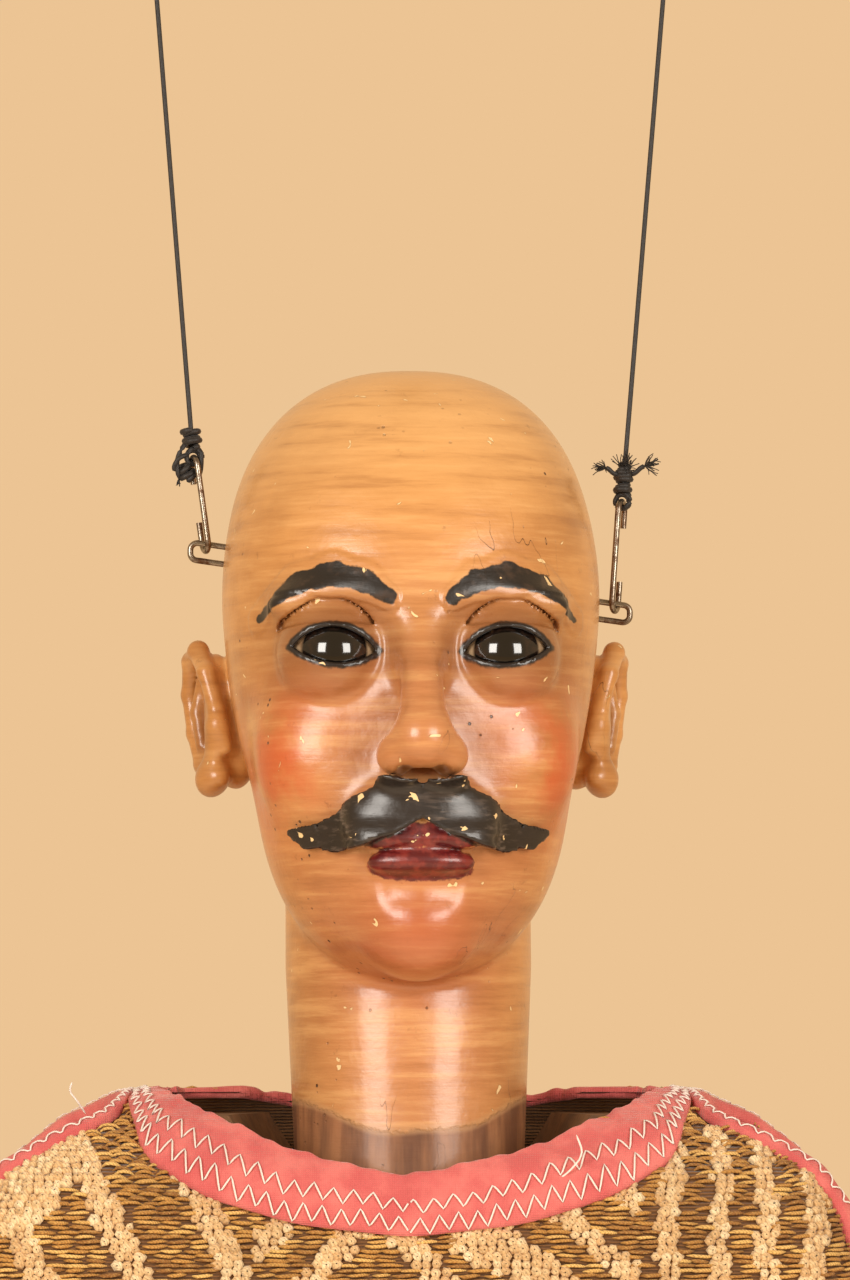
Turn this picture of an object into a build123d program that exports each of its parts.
from build123d import *
import math
import os

os.makedirs("parts", exist_ok=True)

# Carved marionette hung from a wooden control. Millimetres. +Z up, the puppet faces -Y, +X is to the viewer's right.
# Everything is laid out in heights above the boot soles, then moved down so that the origin is the centre of the
# hanging hole of the control.

# ---------------------------------------------------------------- control
HOLE_Z = 838.0            # centre of the hanging hole above the soles
HOLE_R = 5.0
TAB_T = 14.0              # tab thickness, so also the length of the hole
TAB_LEN = 32.0
TAB_TOP = 852.0
MAIN_LEN, MAIN_W, MAIN_T = 190.0, 20.0, 12.0
MAIN_BOTTOM = 810.0
HEAD_BAR_LEN, HEAD_BAR_D, HEAD_BAR_T = 140.0, 16.0, 10.0
SCREW_R, SCREW_HEAD_R = 1.5, 3.2
HEAD_EYE_X = 53.9
END_EYE_Y = 72.0
ROCKER_LEN, ROCKER_T, ROCKER_H = 150.0, 8.0, 14.0
ROCKER_EYE_X = 64.0
WASHER_R, WASHER_T = 6.0, 1.0
PIVOT_R, PIVOT_HEAD_R = 2.0, 4.5
RUN = 0.07                # running clearance on a radius

# ---------------------------------------------------------------- wire and cord
EYE_RING, EYE_WIRE = 3.0, 0.7          # small screw eyes
BODY_RING, BODY_WIRE = 3.5, 0.8        # eyes that carry the limbs
LINK_RING = 4.05
LINK_STEP = 1.75                       # centre distance of two wires that hang in each other
STAPLE_WIRE = 0.6
STAPLE_GAP = 3.5
STAPLE_OUT = 6.5
CORD_R = 0.5
HOOK_BEND = 1.98

# ---------------------------------------------------------------- head
NECK_Z = 510.0            # centre of the neck's ball foot
NECK_FOOT_R, NECK_TOP_R = 22.2, 25.0
RECESS_R = 11.0
HEAD_PITCH, HEAD_YAW = -7.0, 3.0
EYE_R = 9.5
EYE_X, EYE_Y, EYE_Z = 16.5, -46.5, 617.0
STAPLE_Y = -0.5
STAPLE_X = 41.0
STAPLE_Z_LEFT, STAPLE_Z_RIGHT = 646.2, 634.2
SKULL = (
    (556.0, -40.0, 12.0, 9.0),
    (562.0, -32.0, 20.0, 19.0),
    (572.0, -24.0, 27.0, 29.0),
    (588.0, -17.0, 31.5, 38.0),
    (605.0, -13.0, 35.0, 44.0),
    (625.0, -12.0, 37.2, 47.0),
    (643.0, -12.0, 37.5, 47.0),
    (658.0, -12.0, 34.5, 43.5),
    (669.0, -12.0, 27.0, 34.5),
    (676.5, -12.0, 16.0, 21.0),
    (680.0, -12.0, 5.0, 6.5),
)

# ---------------------------------------------------------------- chest and tunic
SOCKET_R = 24.4
SOCKET_TOP_R, SOCKET_TOP_Z = 40.0, 540.0
CHEST = (
    (384.0, 0.0, 26.0, 20.0),
    (405.0, 0.0, 40.0, 30.0),
    (440.0, 0.5, 47.0, 33.0),
    (480.0, 1.5, 49.5, 34.5),
    (512.0, 2.0, 46.0, 35.0),
)
SHOULDER_X = 54.0
SHOULDER_TOP = 532.3
CLOTH_T = 2.5
HEM_Z, HEM_BAND = 350.0, 9.0
CLOTH = (                 # height, half width, front, back, corner radius
    (350.0, 55.0, -37.0, 39.0, 20.0),
    (400.0, 52.5, -36.0, 38.0, 20.0),
    (450.0, 53.0, -37.0, 39.5, 20.0),
    (485.0, 54.0, -38.0, 42.0, 18.0),
    (494.0, 88.0, -38.0, 42.0, 15.0),
    (505.0, 88.0, -38.0, 42.0, 15.0),
    (515.0, 85.0, -37.0, 42.0, 15.0),
    (522.0, 80.5, -34.5, 41.0, 15.0),
    (530.0, 71.0, -26.0, 38.0, 15.0),
    (535.0, 59.0, -14.0, 31.0, 12.0),
    (536.5, 50.0, -8.0, 26.0, 10.0),
)
CLOTH_DROP = (10.0, 0.0, 0.0, -2.0, -2.0, 0.0, 2.0, 2.4, 2.5, 2.5, 2.5)   # how far each row's inner face lies lower
NECK_HOLE_X, NECK_HOLE_FRONT, NECK_HOLE_BACK = 49.0, -34.5, 36.0
NECK_BAND_X = 57.0
NECK_BAND_FRONT = ((-57, 525.5), (-40, 518), (-22, 512.5), (0, 510), (22, 512.5), (40, 518), (57, 525.5))
NECK_BAND_BACK = ((-57, 525.5), (-30, 521.5), (0, 520), (30, 521.5), (57, 525.5))
ARMHOLE_BAND = 6.0

# ---------------------------------------------------------------- limbs
ARM_X = 72.5
SHOULDER_EYE_Z = 500.0
ARM_TOP = 483.0
ELBOW_Z, ELBOW_R = 395.0, 9.0
WRIST_Z, WRIST_R = 305.0, 7.0
UPPER_ARM = ((5.0, 482.6), (9.5, 479.5), (12.5, 473.5), (13.4, 464.0), (12.6, 440.0), (10.4, 418.0), (9.0, 409.0))
FOREARM = ((9.0, 382.0), (11.2, 366.0), (10.2, 345.0), (8.0, 326.0), (7.0, 317.0))
WAIST_EYE_Z = 379.0
PELVIS_TOP = 358.0
HIP_X, HIP_Z = 25.0, 314.0
HIP_ROD_R = 2.0
PELVIS_FOOT_R = 16.5
HIP_TONGUE, HIP_TONGUE_R = 12.0, 9.0
THIGH_TOP = 297.0
KNEE_Z, KNEE_R = 170.0, 11.0
ANKLE_Z, ANKLE_R = 48.0, 9.0
THIGH = ((15.5, 297.0), (18.6, 284.0), (18.8, 255.0), (15.5, 215.0), (12.2, 195.0), (11.0, 186.0))
SHIN = ((11.0, 154.0), (14.4, 136.0), (13.2, 108.0), (10.0, 78.0), (9.0, 64.0))
PIN_R = 1.6
TONGUE_FIT = 0.3          # side clearance of a tongue in its fork


def placed(shape):
    """Moves a shape from heights above the soles to the frame of the hanging hole."""
    return Pos(0, 0, -HOLE_Z) * shape


def slab(x0, x1, y0, y1, z0, z1):
    """Box between two corners."""
    return Pos((x0 + x1) / 2, (y0 + y1) / 2, (z0 + z1) / 2) * Box(x1 - x0, y1 - y0, z1 - z0)


def rod(start, end, radius):
    """Round rod between two points."""
    line = Edge.make_line(start, end)
    return sweep(Plane(origin=line @ 0, z_dir=line % 0) * Circle(radius), path=line)


def wire_solid(path, radius):
    """Round wire along a path."""
    return sweep(Plane(origin=path @ 0, z_dir=path % 0) * Circle(radius), path=path)


def x_rod(x0, x1, y, z, radius):
    """Round rod along X."""
    return Pos((x0 + x1) / 2, y, z) * Rot(0, 90, 0) * Cylinder(radius, x1 - x0)


def ring_x(x, y, z, ring, wire):
    """Closed wire ring whose axis runs along X."""
    return Pos(x, y, z) * Rot(0, 90, 0) * Torus(ring, wire)


def screw_eye(ring, wire, shank):
    """Screw eye with its ring in the XZ plane round the origin and its shank going up."""
    loop = Rot(90, 0, 0) * Torus(ring, wire)
    stem = Pos(0, 0, ring + shank / 2) * Cylinder(wire, shank)
    return loop + stem


def both(shape):
    """A shape and its mirror image across the centre plane."""
    return Compound(children=[shape, mirror(shape, about=Plane.YZ)])


def round_section(z, half_x, front, back, corner):
    """Rounded rectangle at a height."""
    return Pos(0, (front + back) / 2, z) * RectangleRounded(2 * half_x, back - front, corner)


def ellipse_loft(rows):
    """Smooth loft through ellipses given as height, centre y, half width, half depth."""
    return loft([Pos(0, y, z) * Ellipse(rx, ry) for z, y, rx, ry in rows])


def turned(rows, x, top_z, bottom_z, bottom_r):
    """Turned limb: profile rows of radius and height, closed flat at the top and round at the bottom."""
    outline = Spline(*[(r, z) for r, z in rows])
    low_r, low_z = rows[-1]
    high_r, high_z = rows[0]
    neck = Line((low_r, low_z), (bottom_r, bottom_z))
    end = RadiusArc((bottom_r, bottom_z), (0, bottom_z - bottom_r), bottom_r)
    axis = Line((0, bottom_z - bottom_r), (0, top_z))
    top = Line((0, top_z), (high_r, high_z))
    profile = Plane.XZ * make_face([outline, neck, end, axis, top])
    return Pos(x, 0, 0) * revolve(profile, axis=Axis.Z)


# ---------------------------------------------------------------- control parts
def hang_tab():
    """Upright tab with the hanging hole."""
    body = slab(-TAB_T / 2, TAB_T / 2, -TAB_LEN / 2, TAB_LEN / 2, MAIN_BOTTOM + MAIN_T, TAB_TOP)
    body = fillet(body.edges().filter_by(Axis.X).group_by(Axis.Z)[-1], 11.0)
    return body - x_rod(-TAB_T, TAB_T, 0, HOLE_Z, HOLE_R)


def head_bar_screws():
    """Two countersunk screws that hold the head bar under the main bar."""
    screws = []
    for y in (-5.0, 5.0):
        bottom = MAIN_BOTTOM - HEAD_BAR_T
        shaft = Pos(0, y, bottom + 8) * Cylinder(SCREW_R, 16)
        head = Pos(0, y, bottom + 1.0) * Cone(SCREW_HEAD_R - 0.3, SCREW_R, 2.0)
        screws.append(shaft + head)
    return Compound(children=screws)


def control_eyes():
    """Screw eyes under the head bar and under both ends of the main bar."""
    eyes = []
    for x in (-HEAD_EYE_X, HEAD_EYE_X):
        eyes.append(Pos(x, STAPLE_Y, MAIN_BOTTOM - HEAD_BAR_T - 4.0) * screw_eye(EYE_RING, EYE_WIRE, 8.0))
    for y in (-END_EYE_Y, END_EYE_Y):
        eyes.append(Pos(0, y, MAIN_BOTTOM - 4.0) * screw_eye(EYE_RING, EYE_WIRE, 8.0))
    return Compound(children=eyes)


def rocker_screw():
    """Pivot screw of the leg bar, driven into the front end of the main bar."""
    front = -MAIN_LEN / 2 - WASHER_T - ROCKER_T
    z = MAIN_BOTTOM + MAIN_T / 2
    shaft = rod((0, front - 0.3, z), (0, -MAIN_LEN / 2 + 16, z), PIVOT_R)
    head = rod((0, front - 2.8, z), (0, front - 0.3, z), PIVOT_HEAD_R)
    return shaft + head


def rocker_washer():
    """Washer between the leg bar and the main bar."""
    z = MAIN_BOTTOM + MAIN_T / 2
    disc = rod((0, -MAIN_LEN / 2 - WASHER_T + 0.1, z), (0, -MAIN_LEN / 2, z), WASHER_R)
    return disc - rod((0, -MAIN_LEN / 2 - 5, z), (0, -MAIN_LEN / 2 + 5, z), PIVOT_R)


def rocker_bar():
    """Bar that rocks on the pivot screw and carries the leg strings."""
    z = MAIN_BOTTOM + MAIN_T / 2
    back = -MAIN_LEN / 2 - WASHER_T
    body = slab(-ROCKER_LEN / 2, ROCKER_LEN / 2, back - ROCKER_T, back, z - ROCKER_H / 2, z + ROCKER_H / 2)
    body = fillet(body.edges().filter_by(Axis.Y), 5.0)
    return body - rod((0, back - 20, z), (0, back + 5, z), PIVOT_R + RUN)


def rocker_eyes():
    """Screw eyes under both ends of the rocking bar."""
    z = MAIN_BOTTOM + MAIN_T / 2 - ROCKER_H / 2 - 4.0
    y = -MAIN_LEN / 2 - WASHER_T - ROCKER_T / 2
    return Compound(children=[
        Pos(x, y, z) * screw_eye(EYE_RING, EYE_WIRE, 7.0) for x in (-ROCKER_EYE_X, ROCKER_EYE_X)])


# ---------------------------------------------------------------- head strings
def staple_point(side):
    """Point on the upper leg of the temple staple where the hook rests."""
    z = STAPLE_Z_LEFT if side < 0 else STAPLE_Z_RIGHT
    return Vector(side * STAPLE_X, STAPLE_Y, z)


STAPLE_AXIS = (staple_point(1) - staple_point(-1)).normalized()
KNOT_DX = (2.2, 1.3)      # how far the hooks lean out over their rise, left and right
KNOT_RISE = (15.5, 18.5)
HOOK_TOP = (17.6, 20.6)   # height of the upper bend above the staple point, left and right
HOOK_TURN = 20.0          # the hooks' plane is turned this much from the side plane


def hook_lean(side):
    """Angle by which a hook leans outwards, in radians."""
    i = 0 if side < 0 else 1
    return math.atan2(KNOT_DX[i], KNOT_RISE[i])


def hook(side):
    """Bent wire hook: open lower bend round the staple, straight shank, open upper bend."""
    bottom, top = -1.42, HOOK_TOP[0 if side < 0 else 1]
    path = FilletPolyline((0, 2, 4.6), (0, 2, bottom), (0, -2, bottom), (0, -2, top), (0, 2, top), (0, 2, top - 5.2),
                          radius=HOOK_BEND)
    turn = Rot(0, side * math.degrees(hook_lean(side)), 0) * Rot(0, 0, -side * HOOK_TURN)
    return Pos(staple_point(side)) * turn * wire_solid(path, STAPLE_WIRE)


def string_end(side):
    """Top end of a head string, in the knot under its loop on the control."""
    return Vector(side * HEAD_EYE_X, STAPLE_Y, MAIN_BOTTOM - HEAD_BAR_T - 4.0 - EYE_RING - 2.6)


def hook_top(side):
    """Point where the string's lower loop goes round the top of the hook."""
    lean, top = hook_lean(side), HOOK_TOP[0 if side < 0 else 1]
    return staple_point(side) + Vector(side * math.sin(lean) * top, 0, math.cos(lean) * top)


def head_string(side):
    """Taut cord from the control to the hook."""
    low = hook_top(side)
    high = string_end(side)
    start = low + (high - low).normalized() * 3.6
    return rod(start, high, CORD_R)


def string_knots():
    """Loops round the control eyes and the hooks, and the knots beside them."""
    lumps = []
    for side in (-1, 1):
        high = string_end(side)
        low = hook_top(side)
        way = (high - low).normalized()
        cord = head_string(side)
        upper = ring_x(side * HEAD_EYE_X, STAPLE_Y, high.Z + 2.6, 1.45, CORD_R) + Pos(high) * Sphere(1.5)
        loop = Pos(low) * Rot(0, 0, -side * HOOK_TURN) * Rot(90, 0, 0) * Torus(1.45, CORD_R)
        lower = loop + Pos(low + way * 3.6) * Sphere(2.6)
        lower = lower + Pos(low + way * 6.2) * Sphere(1.7)
        lumps.append(upper - cord)
        lumps.append(lower - cord)
    return Compound(children=[solid for lump in lumps for solid in lump.solids()])


# ---------------------------------------------------------------- head parts
def head_pose(shape):
    """Tilts and turns the upright head about the centre of its neck foot."""
    return Pos(0, 0, NECK_Z) * Rot(0, 0, HEAD_YAW) * Rot(HEAD_PITCH, 0, 0) * Pos(0, 0, -NECK_Z) * shape


def eyeball(side, room=0.0):
    """Glass eye, or its socket with a little room around it; the ball's seam lies at its back."""
    return head_pose(Pos(side * EYE_X, EYE_Y, EYE_Z) * Rot(0, 0, 90) * Sphere(EYE_R + room))


def temple_staple(side):
    """Wire staple driven into the temple, its upper leg on the nodding line."""
    out = STAPLE_AXIS * side
    upper = staple_point(side)
    inner = upper - out * 12.0
    tip = upper + out * (STAPLE_OUT - 3.5)
    drop = Vector(0, 0, -STAPLE_GAP)
    path = FilletPolyline(inner, tip, tip + drop, inner + drop, radius=1.4)
    return wire_solid(path, STAPLE_WIRE)


def neck_eye():
    """Screw eye in the recess of the neck foot."""
    return head_pose(Pos(0, 0, NECK_Z + 6.0) * screw_eye(BODY_RING, BODY_WIRE, 18.0))


def head():
    """Carved head with ears, nose and neck in one piece."""
    skull = ellipse_loft(SKULL)
    neck = Pos(0, 0, NECK_Z + 40) * Cone(NECK_FOOT_R, NECK_TOP_R, 80)
    foot = Pos(0, 0, NECK_Z) * Sphere(NECK_FOOT_R)
    nose = Pos(0, -56.5, 597) * Rot(14, 0, 0) * scale(Sphere(1), by=(6.5, 9.5, 13.5))
    ear = Pos(38.8, 2, 613) * Rot(0, 6, 0) * scale(Sphere(1), by=(4.6, 9, 15))
    body = skull + neck + foot + nose + ear + mirror(ear, about=Plane.YZ)
    body = body - Pos(0, 0, NECK_Z - 8.5) * Cylinder(RECESS_R, 43)
    body = head_pose(body) - neck_eye()
    for side in (-1, 1):
        body = body - eyeball(side, RUN) - temple_staple(side)
    return body


# ---------------------------------------------------------------- chest and tunic parts
def neck_hole():
    """Upright elliptical prism that opens the tunic at the neck."""
    depth = (NECK_HOLE_BACK - NECK_HOLE_FRONT) / 2
    middle = (NECK_HOLE_BACK + NECK_HOLE_FRONT) / 2
    return Pos(0, middle, 515) * extrude(Ellipse(NECK_HOLE_X, depth), 40)


def cloth_volume(inset):
    """Volume inside the tunic's outer face, or inside its inner face when drawn in by an inset."""
    sections = []
    for (z, half, front, back, corner), drop in zip(CLOTH, CLOTH_DROP):
        height = z - (drop if inset else 0)
        sections.append(round_section(height, half - inset, front + inset, back - inset, corner - inset))
    return loft(sections, ruled=True)


def armhole(margin):
    """Space the right armhole leaves open, widened by a margin."""
    upper = slab(57 - margin, 110, -24 - margin, 24 + margin, 470 - margin, 600)
    lower = slab(40 - margin, 110, -20 - margin, 20 + margin, 486 - margin, 528 + margin)
    lower = lower + x_rod(40 - margin, 110, 0, 486, 20 + margin)
    return upper + lower


def cloth_shell():
    """Whole tunic before it is divided into cloth and bindings."""
    shell = cloth_volume(0) - cloth_volume(CLOTH_T) - neck_hole()
    front, back = CLOTH[4][2] + CLOTH_T, CLOTH[4][3] - CLOTH_T
    opening = armhole(0) + slab(56, 110, front, back, 470, 500)
    return shell - opening - mirror(opening, about=Plane.YZ)


def neck_band_zone():
    """Region of the neckline binding, above a curved edge at the front and another at the back."""
    top = ((-NECK_BAND_X, 560), (NECK_BAND_X, 560))
    front = Polyline(*NECK_BAND_FRONT, top[1], top[0], close=True)
    back = Polyline(*NECK_BAND_BACK, top[1], top[0], close=True)
    front_zone = extrude(Plane.XZ * make_face(front), 60)
    back_zone = extrude(Plane.XZ * make_face(back), -60)
    return front_zone + back_zone


def armhole_zone():
    """Region of both armhole bindings."""
    right = armhole(ARMHOLE_BAND) + slab(54.5, 100, -50, 50, 480, 499)
    return right + mirror(right, about=Plane.YZ)


def tunic_pieces():
    """Cloth, neckline binding, armhole bindings and hem binding."""
    shell = cloth_shell()
    neck_zone = neck_band_zone()
    arm_zone = armhole_zone()
    hem_zone = slab(-100, 100, -60, 60, HEM_Z - 5, HEM_Z + HEM_BAND)
    neckline = shell & neck_zone
    rest = shell - neck_zone
    arms = rest & arm_zone
    rest = rest - arm_zone
    hem = rest & hem_zone
    cloth = rest - hem_zone
    return cloth, neckline, arms, hem


def shoulder_eyes():
    """Screw eyes that stand out of both sides of the chest."""
    eye = Pos(ARM_X, 0, SHOULDER_EYE_Z) * Rot(0, -90, 0) * screw_eye(BODY_RING, BODY_WIRE, ARM_X - 42.0 - BODY_RING)
    return both(eye)


def waist_eye():
    """Screw eye under the chest."""
    return Pos(0, 0, WAIST_EYE_Z) * screw_eye(BODY_RING, BODY_WIRE, 14.0)


def socket_staple():
    """Tall wire loop that stands in the neck socket and holds the neck link."""
    crown = NECK_Z - 2.0
    path = FilletPolyline((-4, 0, 474), (-4, 0, crown), (4, 0, crown), (4, 0, 474), radius=2.6)
    return wire_solid(path, BODY_WIRE)


def chest_block():
    """Wooden chest with a bowl for the neck and two shoulder horns."""
    body = ellipse_loft(CHEST)
    horns = slab(-SHOULDER_X, SHOULDER_X, -6, 22, 492, SHOULDER_TOP)
    horns = fillet(horns.edges().filter_by(Axis.Y).group_by(Axis.Z)[-1], 4.0)
    bowl = Pos(0, 0, NECK_Z) * Sphere(SOCKET_R)
    height = SOCKET_TOP_Z - NECK_Z + 2
    funnel = Pos(0, 0, NECK_Z - 2 + height / 2) * Cone(SOCKET_R - 0.3, SOCKET_TOP_R, height)
    body = body + horns - bowl - funnel
    return body - socket_staple() - shoulder_eyes() - waist_eye()


# ---------------------------------------------------------------- joints shared by the limbs
def fork(limb, x, z, radius, tongue):
    """Cuts the fork and its pin hole into the rounded lower end of a limb."""
    half = tongue / 2 + TONGUE_FIT
    gap = slab(x - half, x + half, -40, 40, z - radius - 20, z + radius - 0.4)
    return limb - gap - x_rod(x - 30, x + 30, 0, z, PIN_R)


def tongued(limb, x, z, radius, tongue):
    """Hollows the top of a limb for the fork above it and adds the tongue with its running hole."""
    inner = radius - 1.0
    body = limb - x_rod(x - 40, x + 40, 0, z, radius + 0.6)
    blade = slab(x - tongue / 2, x + tongue / 2, -inner, inner, z - radius - 4, z)
    blade = blade + x_rod(x - tongue / 2, x + tongue / 2, 0, z, inner)
    blade = blade - x_rod(x - 30, x + 30, 0, z, PIN_R + RUN)
    return body + blade


def hinge_pin(x, z, radius):
    """Wire pin through a fork."""
    return x_rod(x - radius + 0.8, x + radius - 0.8, 0, z, PIN_R)


# ---------------------------------------------------------------- arms, right side
def arm_eye():
    """Screw eye in the top of the upper arm."""
    top_wire = SHOULDER_EYE_Z - BODY_RING + LINK_STEP - 2 * LINK_RING + LINK_STEP
    return Pos(ARM_X, 0, top_wire - BODY_RING) * Rot(180, 0, 0) * screw_eye(BODY_RING, BODY_WIRE, 14.0)


def shoulder_link():
    """Wire ring between the shoulder eye and the arm eye."""
    return ring_x(ARM_X, 0, SHOULDER_EYE_Z - BODY_RING + LINK_STEP - LINK_RING, LINK_RING, BODY_WIRE)


def upper_arm():
    """Turned upper arm with the elbow fork."""
    limb = turned(UPPER_ARM, ARM_X, ARM_TOP, ELBOW_Z, ELBOW_R)
    return fork(limb, ARM_X, ELBOW_Z, ELBOW_R, 7.0) - arm_eye()


def forearm():
    """Turned forearm with the elbow tongue and the wrist fork."""
    limb = turned(FOREARM, ARM_X, FOREARM[0][1], WRIST_Z, WRIST_R)
    neck = Pos(ARM_X, 0, FOREARM[0][1] + 3) * Cylinder(FOREARM[0][0], 6)
    limb = tongued(limb + neck, ARM_X, ELBOW_Z, ELBOW_R, 7.0)
    return fork(limb, ARM_X, WRIST_Z, WRIST_R, 5.0)


def hand():
    """Carved hand with closed fingers, palm to the body and thumb forward."""
    palm = loft([
        Pos(ARM_X, 0, 299) * RectangleRounded(13, 13, 5),
        Pos(ARM_X, -0.5, 286) * RectangleRounded(11, 22, 4.5),
        Pos(ARM_X, -0.5, 276) * RectangleRounded(10.5, 24, 4),
    ])
    fingers = loft([
        Pos(ARM_X, -0.5, 276) * RectangleRounded(10.5, 24, 4),
        Pos(ARM_X - 1, 0, 263) * RectangleRounded(9, 22, 3.5),
        Pos(ARM_X - 2, 0.5, 255) * RectangleRounded(6, 16, 2.5),
    ])
    thumb = rod((ARM_X - 1, -9, 290), (ARM_X - 2, -15.5, 274), 3.2) + Pos(ARM_X - 2, -15.5, 274) * Sphere(3.2)
    return tongued(palm + fingers + thumb, ARM_X, WRIST_Z, WRIST_R, 5.0) - hand_eye()


def hand_eye():
    """Screw eye for the hand string, on the thumb edge of the palm."""
    return Pos(ARM_X, -14.6, 294) * Rot(-70, 0, 0) * screw_eye(2.2, 0.6, 9.0)


# ---------------------------------------------------------------- pelvis
def waist_link():
    """Wire ring between the chest and the pelvis."""
    return ring_x(0, 0, WAIST_EYE_Z - BODY_RING + LINK_STEP - LINK_RING, LINK_RING, BODY_WIRE)


def pelvis_eye():
    """Screw eye in the top of the pelvis."""
    top_wire = WAIST_EYE_Z - BODY_RING + LINK_STEP - 2 * LINK_RING + LINK_STEP
    return Pos(0, 0, top_wire - BODY_RING) * Rot(180, 0, 0) * screw_eye(BODY_RING, BODY_WIRE, 18.0)


def hip_rod():
    """Steel rod that carries both thighs."""
    return x_rod(-40, 40, 0, HIP_Z, HIP_ROD_R)


def pelvis_block():
    """Pelvis with two slots for the thigh tongues."""
    outline = Polyline((-16.5, HIP_Z), (-24, 345), (-21, PELVIS_TOP), (21, PELVIS_TOP), (24, 345), (16.5, HIP_Z),
                       close=True)
    body = extrude(Plane.YZ * make_face(outline), 44, both=True) + x_rod(-44, 44, 0, HIP_Z, PELVIS_FOOT_R)
    envelope = loft([Pos(0, 0, 290) * Ellipse(44, 31), Pos(0, 0, 330) * Ellipse(44, 31),
                     Pos(0, 0, PELVIS_TOP + 1) * Ellipse(33, 22)], ruled=True)
    body = body & envelope
    half = HIP_TONGUE / 2 + TONGUE_FIT
    for x in (-HIP_X, HIP_X):
        body = body - slab(x - half, x + half, -40, 40, 280, HIP_Z + HIP_TONGUE_R + 0.6)
    return body - hip_rod() - pelvis_eye()


# ---------------------------------------------------------------- legs, right side
def knee_eye():
    """Screw eye for the leg string, above the knee."""
    return Pos(HIP_X, -18.5, 196) * Rot(-90, 0, 0) * screw_eye(2.6, 0.6, 10.0)


def thigh():
    """Turned thigh with the hip tongue and the knee fork."""
    limb = turned(THIGH, HIP_X, THIGH_TOP, KNEE_Z, KNEE_R)
    half = HIP_TONGUE / 2
    blade = slab(HIP_X - half, HIP_X + half, -HIP_TONGUE_R, HIP_TONGUE_R, THIGH_TOP - 4, HIP_Z)
    blade = blade + x_rod(HIP_X - half, HIP_X + half, 0, HIP_Z, HIP_TONGUE_R)
    blade = blade - x_rod(HIP_X - 30, HIP_X + 30, 0, HIP_Z, HIP_ROD_R + RUN)
    return fork(limb + blade, HIP_X, KNEE_Z, KNEE_R, 9.0) - knee_eye()


def shin():
    """Turned shin with the knee tongue and the ankle fork."""
    limb = turned(SHIN, HIP_X, SHIN[0][1], ANKLE_Z, ANKLE_R)
    neck = Pos(HIP_X, 0, SHIN[0][1] + 4) * Cylinder(SHIN[0][0], 8)
    limb = tongued(limb + neck, HIP_X, KNEE_Z, KNEE_R, 9.0)
    return fork(limb, HIP_X, ANKLE_Z, ANKLE_R, 7.0)


def boot():
    """Boot with a heel, a rounded toe and a collar round the ankle."""
    sole = Pos(HIP_X, -20, 0) * extrude(RectangleRounded(30, 74, 14), 4)
    arch = slab(HIP_X - 20, HIP_X + 20, -16, 2, -1, 1.6)
    vamp = loft([
        Pos(HIP_X, -20, 4) * RectangleRounded(28, 71, 13.5),
        Pos(HIP_X, -17, 14) * RectangleRounded(27, 64, 13),
        Pos(HIP_X, -8, 24) * RectangleRounded(25, 44, 12),
        Pos(HIP_X, -1, 34) * RectangleRounded(24, 30, 11.5),
        Pos(HIP_X, 0, 44) * RectangleRounded(24, 28, 11.5),
    ])
    return tongued(sole + vamp - arch, HIP_X, ANKLE_Z, ANKLE_R, 7.0)


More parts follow.
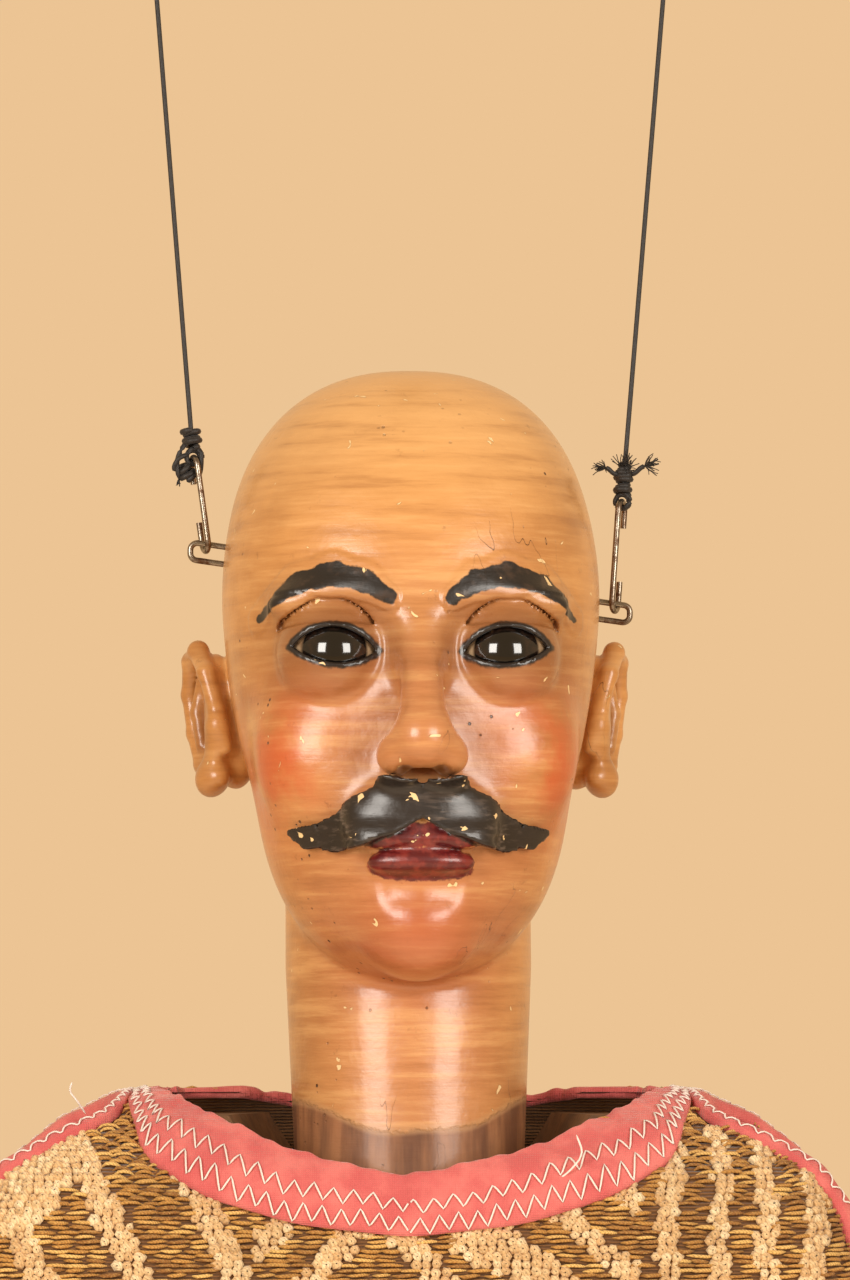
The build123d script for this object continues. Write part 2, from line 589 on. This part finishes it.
# ---------------------------------------------------------------- all nodes
def build():
    """All sub-parts by node name, in heights above the soles."""
    parts = {}
    eyes = control_eyes()
    screws = head_bar_screws()
    pivot = rocker_screw()
    main = slab(-MAIN_W / 2, MAIN_W / 2, -MAIN_LEN / 2, MAIN_LEN / 2, MAIN_BOTTOM, MAIN_BOTTOM + MAIN_T)
    main = fillet(main.edges().filter_by(Axis.Z), 4.0)
    bar = slab(-HEAD_BAR_LEN / 2, HEAD_BAR_LEN / 2, -HEAD_BAR_D / 2, HEAD_BAR_D / 2, MAIN_BOTTOM - HEAD_BAR_T,
               MAIN_BOTTOM)
    bar = fillet(bar.edges().filter_by(Axis.Z), 4.0)
    parts["main_bar"] = main - eyes - screws - pivot
    parts["hang_tab"] = hang_tab()
    parts["head_bar"] = bar - eyes - screws
    parts["head_bar_screws"] = screws
    parts["control_eyes"] = eyes
    parts["rocker_screw"] = pivot
    parts["rocker_washer"] = rocker_washer()
    parts["rocker_bar"] = rocker_bar() - rocker_eyes()
    parts["rocker_eyes"] = rocker_eyes()
    parts["string_left"] = head_string(-1)
    parts["string_right"] = head_string(1)
    parts["string_knots"] = string_knots()
    parts["hook_left"] = hook(-1)
    parts["hook_right"] = hook(1)
    parts["head"] = head()
    parts["eye_left"] = eyeball(-1)
    parts["eye_right"] = eyeball(1)
    parts["temple_staples"] = Compound(children=[temple_staple(-1), temple_staple(1)])
    parts["neck_eye"] = neck_eye()
    parts["neck_link"] = ring_x(0, 0, NECK_Z + 0.2, LINK_RING, BODY_WIRE)
    parts["chest_block"] = chest_block()
    parts["socket_staple"] = socket_staple()
    cloth, neckline, arms, hem = tunic_pieces()
    parts["tunic"] = cloth
    parts["neckline_binding"] = neckline
    parts["armhole_bindings"] = arms
    parts["hem_binding"] = hem
    parts["shoulder_eyes"] = shoulder_eyes()
    parts["waist_eye"] = waist_eye()
    parts["waist_link"] = waist_link()
    parts["pelvis_eye"] = pelvis_eye()
    parts["pelvis_block"] = pelvis_block()
    parts["hip_rod"] = hip_rod()
    paired = {
        "shoulder_link": shoulder_link(),
        "arm_eye": arm_eye(),
        "upper_arm": upper_arm(),
        "elbow_pin": hinge_pin(ARM_X, ELBOW_Z, ELBOW_R),
        "forearm": forearm(),
        "wrist_pin": hinge_pin(ARM_X, WRIST_Z, WRIST_R),
        "hand": hand(),
        "hand_eye": hand_eye(),
        "thigh": thigh(),
        "knee_pin": hinge_pin(HIP_X, KNEE_Z, KNEE_R),
        "knee_eye": knee_eye(),
        "shin": shin(),
        "ankle_pin": hinge_pin(HIP_X, ANKLE_Z, ANKLE_R),
        "boot": boot(),
    }
    for name, shape in paired.items():
        parts[name + "_right"] = shape
        parts[name + "_left"] = mirror(shape, about=Plane.YZ)
    return parts


for node, shape in build().items():
    export_step(placed(shape), "parts/" + node + ".step")
